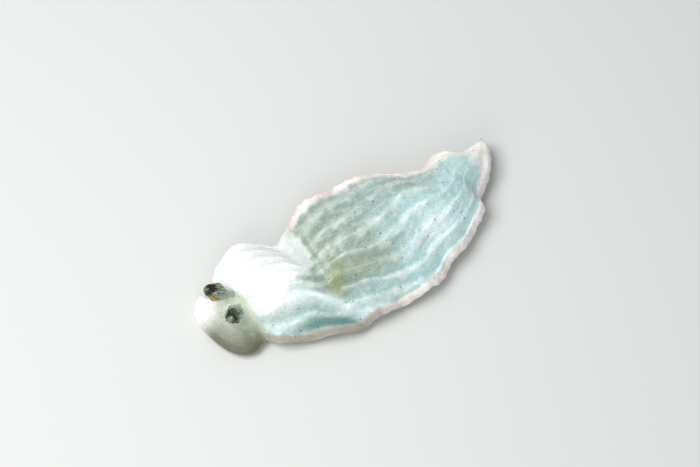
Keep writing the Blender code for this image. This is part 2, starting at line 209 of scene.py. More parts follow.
def colour(code):
    """An sRGB hex value as linear red, green and blue."""
    parts = [int(code[i:i + 2], 16) / 255 for i in (1, 3, 5)]
    return tuple(c / 12.92 if c <= 0.04045 else ((c + 0.055) / 1.055) ** 2.4 for c in parts)


def flesh_colour(name, code):
    """A colour that a user can change."""
    return FloatVectorProperty(name=name, description=f"Colour of the {name.lower()}", default=colour(code),
                               subtype="COLOR", size=3, min=0.0, max=1.0)


def size_in_mm(name, description, default, least, most):
    """A length that a user can change, given here in millimetres and kept in metres."""
    return FloatProperty(name=name, description=description, default=default * MM, min=least * MM,
                         max=most * MM, unit="LENGTH", precision=5)


class SlugShape(PropertyGroup):
    """Sizes of the body that a user would change."""
    ridge_height: size_in_mm("Ridge height", "Height of the ridges on the back", 0.15, 0.0, 0.3)
    lobe_ridge_height: size_in_mm("Lobe ridge height", "Height of the faint ridges on the front lobe",
                                  0.06, 0.0, 0.3)
    mantle_thickness: size_in_mm("Mantle thickness", "Thickness of the mantle", 0.5, 0.2, 0.8)
    rim_width: size_in_mm("Rim width", "Width of the pale rim of the mantle", 0.3, 0.1, 0.8)


class SlugColours(PropertyGroup):
    """Colours of the flesh."""
    # Lighter crests and darker grooves, front and rear: partly the skin's own streaks, partly painted
    # shading of the ridges
    crest: flesh_colour("Ridge crests", "#cedbd3")
    groove: flesh_colour("Grooves", "#98aca1")
    rear_crest: flesh_colour("Ridge crests of the rear", "#e3f3f1")
    rear_groove: flesh_colour("Grooves of the rear", "#b2d5d4")
    olive: flesh_colour("Olive band", "#8f9a72")
    # Painted shade in the trough outside the left fold
    trough: flesh_colour("Painted shade in the trough beside the left fold", "#4f7f79")
    # The front lobe's white is partly its pale flesh and partly a painted pool of light
    lobe: flesh_colour("Front lobe", "#f6f9f5")
    rim: flesh_colour("Mantle rim", "#f5f1ea")
    rim_blush: flesh_colour("Blush of the rim", "#f0ddd7")
    # Painted shade on the rim along the front of the left side, where it turns away from the light
    rim_shade: flesh_colour("Painted shade on the rim", "#8f8b76")
    tail: flesh_colour("Tail tip", "#f7f6ec")
    body: flesh_colour("Foot and flanks", "#cfd2c0")
    # The veil is white on its lit side and darker across to the other: partly its clear flesh, partly
    # painted light and shade
    veil: flesh_colour("Oral veil", "#f6f6f2")
    veil_shade: flesh_colour("Clear flesh and painted shade of the veil", "#65664f")
    pale: flesh_colour("Head round the rhinophores", "#dce8d3")
    # Painted highlight: a bright patch on the left of the rear and along the crest of the left fold
    glow: flesh_colour("Painted highlight of the rear and fold", "#effeff")
    speck: flesh_colour("Dark specks", "#3f4f45")
    stalk: flesh_colour("Clear flesh of the rhinophores", "#a3b49c")
    between: flesh_colour("Between the lamellae", "#58663f")
    lamella: flesh_colour("Rhinophore lamellae", "#14180c")
    tip: flesh_colour("Rhinophore tip", "#6a7753")
    amber: flesh_colour("Amber side of the right rhinophore", "#b98a2c")


class SlugRhinophores(PropertyGroup):
    """Sizes of the rhinophores."""
    length: size_in_mm("Length", "From the head to the tip", 1.16, 0.3, 2.0)
    club_radius: size_in_mm("Club radius", "Radius of the club over its lamellae", 0.38, 0.1, 0.5)
    lamellae: IntProperty(name="Lamellae", description="Leaves round the club", default=12, min=5, max=30)


class SlugStage(PropertyGroup):
    """Light and floor."""
    key: FloatProperty(name="Key light", description="Power of the main soft light", default=0.0495, min=0.0,
                       unit="POWER", precision=4)
    fill: FloatProperty(name="Fill light", description="Power of the fill light", default=0.026, min=0.0,
                        unit="POWER", precision=4)
    floor: flesh_colour("Floor", "#d9dad6")


def in_mm(group):
    """The sizes of a group as plain millimetres. A count stays a count."""
    values = {name: getattr(group, name) for name in group.__annotations__}
    return SimpleNamespace(**{name: v / MM if isinstance(v, float) else v for name, v in values.items()})


def curve_through(points):
    """A function of the share of the length, 0 to 1, on the smooth curve through the points."""
    p = np.array(points, dtype=float)
    p = np.vstack([2 * p[0] - p[1], p, 2 * p[-1] - p[-2]])
    t = np.linspace(0.0, 1.0, 24, endpoint=False)[:, None]
    spans = []
    for a, b, c, d in zip(p, p[1:], p[2:], p[3:]):
        spans.append(0.5 * (2 * b + (c - a) * t + (2 * a - 5 * b + 4 * c - d) * t ** 2
                            + (3 * b - a - 3 * c + d) * t ** 3))
    line = np.vstack([*spans, p[-2:-1]])
    share = np.concatenate([[0.0], np.cumsum(np.linalg.norm(np.diff(line, axis=0), axis=1))])
    share /= share[-1]

    def at(u):
        return np.stack([np.interp(u, share, line[:, k]) for k in range(line.shape[1])], axis=-1)
    return at


def profile_through(points):
    """A smooth function of the first coordinate through (place, value) points."""
    p = np.array(points, dtype=float)
    slope = np.gradient(p[:, 1], p[:, 0])

    def at(x):
        x = np.clip(x, p[0, 0], p[-1, 0])
        i = np.minimum(np.searchsorted(p[:, 0], x, side="right") - 1, len(p) - 2)
        span = p[i + 1, 0] - p[i, 0]
        s = (x - p[i, 0]) / span
        rise = s * s * (3 - 2 * s)
        return (p[i, 1] * (1 - rise) + p[i + 1, 1] * rise
                + slope[i] * span * s * (1 - s) ** 2 - slope[i + 1] * span * s * s * (1 - s))
    return at


def bump(distance, width):
    """A rounded rise of height 1 at distance 0."""
    return np.exp(-(distance / width) ** 2)


def ramp(x, start, end):
    """0 up to start and 1 from end on, with a smooth rise between them."""
    s = np.clip((x - start) / (end - start), 0.0, 1.0)
    return s * s * (3 - 2 * s)


def ripple(a, b, seed):
    """Irregular waves between -1 and 1 over two coordinates, about one wave to a unit."""
    total = 0.0
    for k in range(5):
        turn = seed * 1.7 + k * 2.4
        pace = 1.0 + 0.37 * k
        way = a * math.cos(turn) + b * math.sin(turn)
        total = total + np.sin(2 * math.pi * pace * way + 3.1 * k + seed)
    return total / 5


left_margin = curve_through(LEFT_MARGIN)
right_margin = curve_through(RIGHT_MARGIN)
back_line = profile_through(BACK_LINE)
ridge_shift = profile_through(RIDGE_SHIFT)
ridge_fan = profile_through(RIDGE_FAN)
fold_line = profile_through(FOLD_LINE)
foot_line = curve_through(FOOT_LINE)
foot_half_width = profile_through(FOOT_HALF_WIDTH)


def mantle_plan(u, v):
    """Place on the floor under the mantle: u runs from head to tail, v from left (-1) to right (1)."""
    left = left_margin(u)
    right = right_margin(u)
    spot = left + (right - left) * ((v + 1) / 2)[..., None]
    spot[..., 0] += FRONT_EDGE_HOLLOW * (1 - v * v) * bump(u, 0.08)
    return spot


def half_width(u):
    """Half the width of the mantle, in mm."""
    return np.linalg.norm(right_margin(u) - left_margin(u), axis=-1) / 2


def crease_at(v):
    """Share of the length where the crease crosses."""
    return CREASE_AT + CREASE_SKEW * v


def dome(v):
    """Cross-section of the back: 1 on the midline, 0 at the edge, where it flattens to a brim."""
    return 0.55 * (1 - v * v) + 0.45 * np.cos(math.pi * v / 2) ** 2


def fold_fade(u):
    """The left fold is full at the front and gone at its end."""
    return 1 - np.minimum(1.0, u / FOLD_END) ** 4


def smooth_height(u, v):
    """The back without its ridges."""
    skirt = LEFT_SKIRT_DROP * np.maximum(0.0, -v) ** 2 * (1 - u)
    edge = EDGE_HEIGHT - skirt + EDGE_WAVE * v * v * np.sin(2 * math.pi * EDGE_WAVES * u + 1.5 * v)
    height = edge + (back_line(u) - edge) * dome(v)
    height -= CREASE_DEPTH * bump(u - crease_at(v), CREASE_WIDTH) * bump(v - CREASE_MIDDLE, CREASE_REACH)
    outward = v - fold_line(u)
    return height - FOLD_TROUGH * fold_fade(u) * bump(outward + 2 * FOLD_WIDTH, FOLD_WIDTH)


def across(u, lane):
    """Place across the mantle of a lane that runs along a ridge: lanes are even at the front edge."""
    return lane + (ridge_shift(u) + ridge_fan(u) * lane) * (1 - lane * lane)


def crest_of(u, lane):
    """1 on top of a ridge and 0 in a groove, with the ridges wandering a little as in life."""
    wander = lane + 0.03 * ripple(u * 4, lane * 2, 1.0) + 0.008 * ripple(u * 15, lane * 5, 13.0)
    return (0.5 + 0.5 * np.cos(math.pi * RIDGES_ACROSS * wander)) ** 1.4


def ridges(u, lane, shape):
    """Rounded ridges with wider grooves between them, fading before the edge."""
    v = across(u, lane)
    grown = np.clip((u - crease_at(v)) / RIDGE_GROWTH, 0.0, 1.0)
    sunk = np.clip((u - RIDGE_FADE[0]) / (RIDGE_FADE[1] - RIDGE_FADE[0]), 0.0, 1.0)
    toward_tail = 1 - (1 - TAIL_RIDGE_SHARE) * sunk
    height = shape.lobe_ridge_height + (shape.ridge_height * toward_tail - shape.lobe_ridge_height) * grown
    height = height * (0.85 + 0.6 * ripple(u * 7, lane * 3, 3.0))
    room = ramp(half_width(u), 0.2, 2.2) * (1 - 0.5 * ramp(u, 0.66, 0.85))
    fold = FOLD_CREST * bump(v - fold_line(u), FOLD_WIDTH) * fold_fade(u)
    fine = 0.015 * np.cos(2 * math.pi * RIDGES_ACROSS * lane + 2 * ripple(u * 5, lane * 3, 6.0)) * grown
    grain = 0.02 * ripple(u * 24, lane * 8, 4.0) + 0.01 * ripple(u * 60, lane * 22, 7.0)
    return ((height * crest_of(u, lane) + fine + grain) * room + fold) * (1 - np.abs(v) ** 8)


def from_edge(u, v):
    """Distance to the side edge, in mm."""
    return (1 - np.abs(v)) * half_width(u)


def roll(u, v):
    """How far the edge is rounded off, above and below."""
    side = np.maximum(0.0, 1 - from_edge(u, v) / EDGE_ROLL)
    front = np.maximum(0.0, 1 - u / FRONT_ROLL)
    tip = np.maximum(0.0, 1 - (1 - u) / TIP_ROLL)
    near = np.minimum(1.0, np.sqrt(side ** 2 + front ** 2 + tip ** 2))
    return EDGE_ROLL * (1 - np.sqrt(1 - near * near))


def rim_plan(u, v):
    """The plan with the small lobes of the rim."""
    spot = mantle_plan(u, v)
    side = right_margin(u) - left_margin(u)
    side = side / np.linalg.norm(side, axis=-1)[..., None] * np.sign(v)[..., None]
    lobes = SCALLOP * (ripple(u * 17, np.sign(v), 5.0) + 0.6 * np.sin(2 * math.pi * 31 * u + np.sign(v)))
    reach = ramp(np.abs(v), 0.75, 1.0) * ramp(u, 0.27, 0.36)
    return spot + side * (lobes * reach)[..., None]


def lip(u, v, width):
    """The raised lip along the rim and the gutter inside it."""
    inward = from_edge(u, v)
    rise = LIP_RISE * (1 + 0.6 * ripple(u * 14, np.sign(v), 8.0))
    flutter = 0.05 * np.sin(2 * math.pi * 17 * u + 2 * v) * np.abs(v) ** 10 * ramp(u, 0.2, 0.35)
    gutter = 0.8 * bump(inward - 1.5 * width, 0.5 * width)
    return rise * (bump(inward - 0.5 * width, 0.45 * width) - gutter) + flutter


def stack(plan, height):
    """Places in space from places on the floor and their heights."""
    return np.concatenate([plan, height[..., None]], axis=-1)


def slab(top, underside, rows, columns):
    """A closed body between two surfaces over the unit grid, its grid places and which points are upper."""
    bm = bmesh.new()
    bmesh.ops.create_grid(bm, x_segments=rows, y_segments=columns, size=1.0)
    upper = bmesh.ops.extrude_face_region(bm, geom=bm.faces[:])["geom"]
    raised = {g for g in upper if isinstance(g, bmesh.types.BMVert)}
    is_top = np.array([vert in raised for vert in bm.verts])
    grid = np.array([vert.co[:2] for vert in bm.verts])
    u, v = (grid[:, 0] + 1) / 2, grid[:, 1]
    places = np.where(is_top[:, None], top(u, v), underside(u, v))
    for vert, place in zip(bm.verts, places):
        vert.co = place
    return bm, u, v, is_top


def make_object(name, bm, scale=1.0):
    """A closed mesh that faces outwards, as an object in the scene."""
    bmesh.ops.remove_doubles(bm, verts=bm.verts, dist=1e-4)
    bmesh.ops.recalc_face_normals(bm, faces=bm.faces)
    bmesh.ops.scale(bm, vec=(scale, scale, scale), verts=bm.verts)
    mesh = bpy.data.meshes.new(name)
    bm.to_mesh(mesh)
    bm.free()
    obj = bpy.data.objects.new(name, mesh)
    bpy.context.scene.collection.objects.link(obj)
    return obj


def settle(obj):
    """Apply an object's modifiers."""
    graph = bpy.context.evaluated_depsgraph_get()
    mesh = bpy.data.meshes.new_from_object(obj.evaluated_get(graph))
    obj.modifiers.clear()
    obj.data = mesh


def mantle_object(shape):
    """The mantle with its ridges, as one closed leaf that carries its own places for the markings."""
    def top(u, lane):
        v = across(u, lane)
        height = smooth_height(u, v) + ridges(u, lane, shape) + lip(u, v, shape.rim_width)
        return stack(rim_plan(u, v), height - roll(u, v))

    def underside(u, lane):
        v = across(u, lane)
        thickness = shape.mantle_thickness * (1 - EDGE_THINNING * np.abs(v) ** 6)
        height = smooth_height(u, v) + lip(u, v, shape.rim_width) - thickness
        return stack(rim_plan(u, v), height + 0.7 * roll(u, v))

    bm, u, lane, is_top = slab(top, underside, SKIN_ROWS, LANES_PER_RIDGE * RIDGES_ACROSS)
    marks = {"along": u, "lane": lane, "upper": is_top.astype(float)}
    for name, values in marks.items():
        layer = bm.verts.layers.float.new(name)
        for vert, value in zip(bm.verts, values):
            vert[layer] = value
    return make_object("mantle", bm)


def foot_slab():
    """The creeping sole: flat below, with a rounded rim, blunt in front and pointed behind."""
    def plan(s, t):
        here = foot_line(s)
        ahead = foot_line(np.minimum(1.0, s + 0.01)) - foot_line(np.maximum(0.0, s - 0.01))
        side = np.stack([-ahead[..., 1], ahead[..., 0]], axis=-1)
        side = side / np.linalg.norm(ahead, axis=-1)[..., None]
        waves = 1 - 0.025 * (1 + ripple(s * 11, np.sign(t), 16.0)) * np.abs(t) ** 3
        return here + side * (foot_half_width(s) * t * waves)[..., None]

    def rim(s, t):
        side = np.clip((np.abs(t) - FOOT_RIM) / (1 - FOOT_RIM), 0.0, 1.0)
        end = np.clip(1 - np.minimum(s, 1 - s) / FOOT_END_ROLL, 0.0, 1.0)
        near = np.minimum(1.0, np.hypot(side, end))
        return FOOT_EDGE * (1 - np.sqrt(1 - near * near))

    def top(s, t):
        sunk = np.maximum(0.0, (s - FOOT_END[0]) / (1 - FOOT_END[0])) ** 2 * FOOT_END[1]
        wrinkle = 0.04 * (ripple(s * 13, t * 2, 11.0) - 0.8) * np.abs(t) ** 2 * (1 - np.abs(t) ** 6)
        return stack(plan(s, t), FOOT_HEIGHT - FOOT_TAPER * t ** 4 - rim(s, t) - sunk + wrinkle)

    def underside(s, t):
        return stack(plan(s, t), rim(s, t))
    return slab(top, underside, *FOOT_GRID)[0]


def trunk_slab(shape):
    """The body wall, from inside the foot up into the mantle."""
    def share(u):
        return TRUNK_START + TRUNK_LENGTH * u

    def top(u, v):
        u, v = share(u), v * TRUNK_SHARE
        return stack(mantle_plan(u, v), smooth_height(u, v) - 0.6 * shape.mantle_thickness)

    def underside(u, v):
        u, v = share(u), v * TRUNK_SHARE * TRUNK_FLARE
        return stack(mantle_plan(u, v), np.full_like(u, TRUNK_LOW))
    return slab(top, underside, *TRUNK_GRID)[0]


def veil_slab():
    """The oral veil: a half-moon flap, high at the head and low at its rim."""
    forward = np.array([-math.cos(HEAD_YAW), -math.sin(HEAD_YAW)])
    sideways = np.array([-math.sin(HEAD_YAW), math.cos(HEAD_YAW)])

    def place(s, t):
        angle = (s - 0.5) * VEIL_ARC
        ahead = np.abs(np.cos(angle)) ** (2 / VEIL_ROUNDNESS) * VEIL_REACH
        aside = np.sign(angle) * np.abs(np.sin(angle)) ** (2 / VEIL_ROUNDNESS) * VEIL_HALF_SPAN
        out = (t + 1) / 2
        ahead = ahead * (VEIL_INNER[0] + (1 - VEIL_INNER[0]) * out)
        aside = aside * (VEIL_INNER[1] + (1 - VEIL_INNER[1]) * out)
        return np.array(VEIL_CENTRE) + forward * ahead[..., None] + sideways * aside[..., None]

    def edge(s, t):
        near = np.maximum(0.0, t - 0.6) / 0.4
        end = np.maximum(0.0, np.abs(s - 0.5) - 0.47) / 0.03
        far = np.minimum(1.0, np.hypot(near, end))
        return VEIL_ROLL * (1 - np.sqrt(1 - far * far))

    def top(s, t):
        wave = VEIL_WAVE * np.sin(9 * s + 1.0) * (t + 1) / 2
        return stack(place(s, t), VEIL_ROOT + (VEIL_RIM - VEIL_ROOT) * (t + 1) / 2 + wave - edge(s, t))

    def underside(s, t):
        return stack(place(s, t), VEIL_UNDERSIDE + edge(s, t))
    return slab(top, underside, *VEIL_GRID)[0]


def lump(centre, radii):
    """A rounded swelling of the flesh."""
    bm = bmesh.new()
    bmesh.ops.create_uvsphere(bm, u_segments=48, v_segments=32, radius=1.0)
    bmesh.ops.scale(bm, vec=radii, verts=bm.verts)
    bmesh.ops.rotate(bm, cent=(0, 0, 0), matrix=Matrix.Rotation(HEAD_YAW, 3, "Z"), verts=bm.verts)
    bmesh.ops.translate(bm, vec=centre, verts=bm.verts)
    return bm


def head_lumps():
    """The head, the neck that runs in under the mantle, and a low sheath round each rhinophore."""
    lumps = [lump(tuple(np.add(HEAD_CENTRE, shift)), radii) for shift, radii in HEAD_LUMPS]
    for root, lean in RHINOPHORES.values():
        lumps.append(lump(Vector((*root, SHEATH_HEIGHT)) + SHEATH_LEAN * Vector(lean), SHEATH_RADII))
    return lumps


def lips():
    """A ring of lips under the head."""
    bm = bmesh.new()
    circle = bmesh.ops.create_circle(bm, segments=12, radius=LIP_THICKNESS)["verts"]
    bmesh.ops.rotate(bm, cent=(0, 0, 0), matrix=Matrix.Rotation(math.pi / 2, 3, "X"), verts=circle)
    bmesh.ops.translate(bm, vec=(LIP_RADIUS, 0, 0), verts=circle)
    bmesh.ops.spin(bm, geom=bm.verts[:] + bm.edges[:], cent=(0, 0, 0), axis=(0, 0, 1),
                   angle=2 * math.pi, steps=28, use_merge=True)
    bmesh.ops.translate(bm, vec=LIP_CENTRE, verts=bm.verts)
    return bm


def papilla(share, radius):
    """A small swelling on the right side of the trunk."""
    bm = bmesh.new()
    bmesh.ops.create_icosphere(bm, subdivisions=3, radius=radius)
    spot = mantle_plan(np.array(share), np.array(TRUNK_SHARE))
    bmesh.ops.translate(bm, vec=(*spot, PAPILLA_HEIGHT + radius), verts=bm.verts)
    return bm


def body_object(shape):
    """Trunk, foot, head, veil and lips grown into one smooth form."""
    forms = [trunk_slab(shape), foot_slab(), veil_slab(), lips(), *head_lumps()]
    forms += [papilla(*size) for size in PAPILLAE.values()]
    whole = bmesh.new()
    for form in forms:
        bmesh.ops.recalc_face_normals(form, faces=form.faces)
        scrap = bpy.data.meshes.new("scrap")
        form.to_mesh(scrap)
        form.free()
        whole.from_mesh(scrap)
        bpy.data.meshes.remove(scrap)
    mesh = bpy.data.meshes.new("body")
    whole.to_mesh(mesh)
    whole.free()
    body = bpy.data.objects.new("body", mesh)
    bpy.context.scene.collection.objects.link(body)
    grow = body.modifiers.new("grow together", "REMESH")
    grow.mode = "VOXEL"
    grow.voxel_size = BODY_GRAIN
    soften = body.modifiers.new("soften", "SMOOTH")
    soften.factor = 0.5
    soften.iterations = 6
    settle(body)
    return body


def node(tree, kind, inputs=None, **settings):
    """Add a node, set its properties and fill its sockets with values or with links from other nodes."""
    made = tree.nodes.new(kind)
    for name, value in settings.items():
        setattr(made, name, value)
    for key, value in (inputs or {}).items():
        socket = made.inputs[key]
        if isinstance(value, bpy.types.NodeSocket):
            tree.links.new(value, socket)
        else:
            socket.default_value = value
    return made


def new_material(name):
    """An empty material and its node tree."""
    mat = bpy.data.materials.new(name)
    mat.use_nodes = True
    mat.node_tree.nodes.clear()
    return mat, mat.node_tree


def paint_over(tree, under, layers):
    """Lay colours over one another, each as strongly as its marking or socket says."""
    for strength, paint in layers:
        if isinstance(strength, str):
            strength = node(tree, "ShaderNodeAttribute", attribute_name=strength).outputs["Fac"]
        paint = paint if isinstance(paint, bpy.types.NodeSocket) else (*paint, 1.0)
        under = under if isinstance(under, bpy.types.NodeSocket) else (*under, 1.0)
        mix = node(tree, "ShaderNodeMix", {MIX_SHARE: strength, MIX_UNDER: under, MIX_OVER: paint},
                   data_type="RGBA")
        under = mix.outputs[MIX_RESULT]
    return under


def wet_skin(colours):
    """Living mollusc skin: thin, clear and wet, so light bleeds through it and its highlights are soft."""
    mat, tree = new_material("wet_mollusc_skin")
    place = node(tree, "ShaderNodeTexCoord").outputs["Object"]
    mottle = node(tree, "ShaderNodeTexNoise", {"Vector": place, "Scale": 1 / (MOTTLE * MM), "Detail": 4.0})
    grain = node(tree, "ShaderNodeTexNoise", {"Vector": place, "Scale": 1 / (GRAIN * MM), "Detail": 2.0})
    cloud = node(tree, "ShaderNodeMapRange", {"Value": mottle.outputs["Fac"], "From Min": 0.35,
                                              "From Max": 0.65, "To Min": 0.55, "To Max": 1.0})
    crest = node(tree, "ShaderNodeAttribute", attribute_name="crest")
    patch = node(tree, "ShaderNodeTexNoise", {"Vector": place, "Scale": 1 / (PATCH * MM), "Detail": 3.0})
    blotch = node(tree, "ShaderNodeMapRange", {"Value": patch.outputs["Fac"], "From Min": 0.3,
                                               "From Max": 0.7, "To Min": -0.3, "To Max": 0.3})
    warm = node(tree, "ShaderNodeMapRange", {"Value": patch.outputs["Fac"], "From Min": 0.46,
                                             "From Max": 0.68, "To Max": 0.4})
    # the crests are clouded and broken into streaks
    crest = node(tree, "ShaderNodeMath",
                 {0: crest.outputs["Fac"], 1: cloud.outputs[0], 2: blotch.outputs[0]},
                 operation="MULTIPLY_ADD", use_clamp=True)

    # crests over grooves: partly the skin's own streaks, partly painted shading of the ridges
    front = paint_over(tree, colours.groove, [(crest.outputs[0], colours.crest),
                                              (warm.outputs[0], colours.body)])
    rear = paint_over(tree, colours.rear_groove, [(crest.outputs[0], colours.rear_crest)])
    # over them lie the rear's blue with painted light toward the left, painted shade in the left trough, a
    # painted highlight and the lobe's white with its painted light
    flesh = paint_over(tree, front, [("cool", rear), ("olive", colours.olive), ("trough", colours.trough),
                                     ("glow", colours.glow), ("white", colours.lobe)])
    blush = node(tree, "ShaderNodeMapRange", {"Value": mottle.outputs["Fac"], "From Min": 0.4,
                                              "From Max": 0.6})
    # the rim, with painted shade along its front left
    rim = paint_over(tree, colours.rim, [(blush.outputs[0], colours.rim_blush),
                                         ("shade", colours.rim_shade)])
    # the veil, white where it is lit and in painted shade on the far side, partly its clear flesh
    head = paint_over(tree, colours.veil, [("clear", colours.veil_shade), ("pale", colours.pale)])
    flesh = paint_over(tree, flesh, [("rim", rim), ("tail", colours.tail), ("flank", colours.body),
                                     ("head", head)])

    # small dark specks with soft edges, scattered over all but the lobe's white, which is partly painted
    # light
    dots = node(tree, "ShaderNodeTexVoronoi", {"Vector": place, "Scale": 1 / (SPECK_SPACING * MM)})
    near = node(tree, "ShaderNodeMapRange", {"Value": dots.outputs["Distance"], "From Min": 0.08,
                                             "From Max": 0.18, "To Min": 0.75, "To Max": 0.0})
    few = node(tree, "ShaderNodeSeparateColor", {"Color": dots.outputs["Color"]})
    few = node(tree, "ShaderNodeMath", {0: few.outputs[0], 1: SPECKLESS}, operation="GREATER_THAN")
    speck = node(tree, "ShaderNodeMath", {0: near.outputs[0], 1: few.outputs[0]}, operation="MULTIPLY")
    bare = node(tree, "ShaderNodeAttribute", attribute_name="white")
    bare = node(tree, "ShaderNodeMapRange", {"Value": bare.outputs["Fac"], "To Min": 1.0, "To Max": 0.15})
    speck = node(tree, "ShaderNodeMath", {0: speck.outputs[0], 1: bare.outputs[0]}, operation="MULTIPLY")
    flesh = paint_over(tree, flesh, [(speck.outputs[0], colours.speck)])
    value = node(tree, "ShaderNodeMapRange", {"Value": grain.outputs["Fac"], "From Min": 0.3,
                                              "From Max": 0.7, "To Min": 0.86, "To Max": 1.06})
    flesh = node(tree, "ShaderNodeHueSaturation", {"Color": flesh, "Value": value.outputs[0]})

    relief = node(tree, "ShaderNodeBump", {"Height": grain.outputs["Fac"], "Strength": 0.3,
                                           "Distance": 0.02 * MM})
    shader = node(tree, "ShaderNodeBsdfPrincipled", {
        "Base Color": flesh.outputs[0], "Normal": relief.outputs[0], "Roughness": 0.42, "IOR": 1.38,
        "Subsurface Weight": 0.3, "Subsurface Scale": 0.35 * MM, "Subsurface Radius": (1.0, 0.9, 0.8),
        "Coat Weight": 0.25, "Coat Roughness": 0.2})
    node(tree, "ShaderNodeOutputMaterial", {"Surface": shader.outputs[0]})
    return mat


def rhinophore_skin(colours):
    """Wet sense organ: its leaves have glossy, nearly black edges, with clearer flesh between them."""
    mat, tree = new_material("wet_rhinophore_skin")
    place = node(tree, "ShaderNodeTexCoord").outputs["Object"]
    patch = node(tree, "ShaderNodeTexNoise", {"Vector": place, "Scale": 1 / (CLUB_PATCH * MM),
                                              "Detail": 1.0})
    fleck = node(tree, "ShaderNodeTexNoise", {"Vector": place, "Scale": 1 / (CLUB_FLECK * MM),
                                              "Detail": 1.0})
    clear = node(tree, "ShaderNodeMapRange", {"Value": patch.outputs["Fac"], "From Min": 0.5,
                                              "From Max": 0.4, "To Max": 0.85})
    dots = node(tree, "ShaderNodeMapRange", {"Value": fleck.outputs["Fac"], "From Min": 0.6,
                                             "From Max": 0.66, "To Max": 0.6})
    club = paint_over(tree, colours.between, [("leaf", colours.lamella), (clear.outputs[0], colours.stalk),
                                              (dots.outputs[0], colours.lamella), ("root", colours.stalk),
                                              ("amber", colours.amber), ("ring", colours.lamella),
                                              ("tip", colours.tip)])
    skin = paint_over(tree, colours.stalk, [("club", club)])
    shader = node(tree, "ShaderNodeBsdfPrincipled", {
        "Base Color": skin, "Roughness": 0.2, "IOR": 1.4, "Subsurface Weight": 0.15,
        "Subsurface Scale": 0.1 * MM, "Coat Weight": 0.6, "Coat Roughness": 0.08})
    node(tree, "ShaderNodeOutputMaterial", {"Surface": shader.outputs[0]})
    return mat


def floor_paint(colour_of_floor):
    """Matt sprayed studio board: no gloss, so it takes a soft shadow and mirrors nothing."""
    mat, tree = new_material("matt_studio_floor")
    shader = node(tree, "ShaderNodeBsdfPrincipled",
                  {"Base Color": (*colour_of_floor, 1.0), "Roughness": 0.8})
    node(tree, "ShaderNodeOutputMaterial", {"Surface": shader.outputs[0]})
    return mat


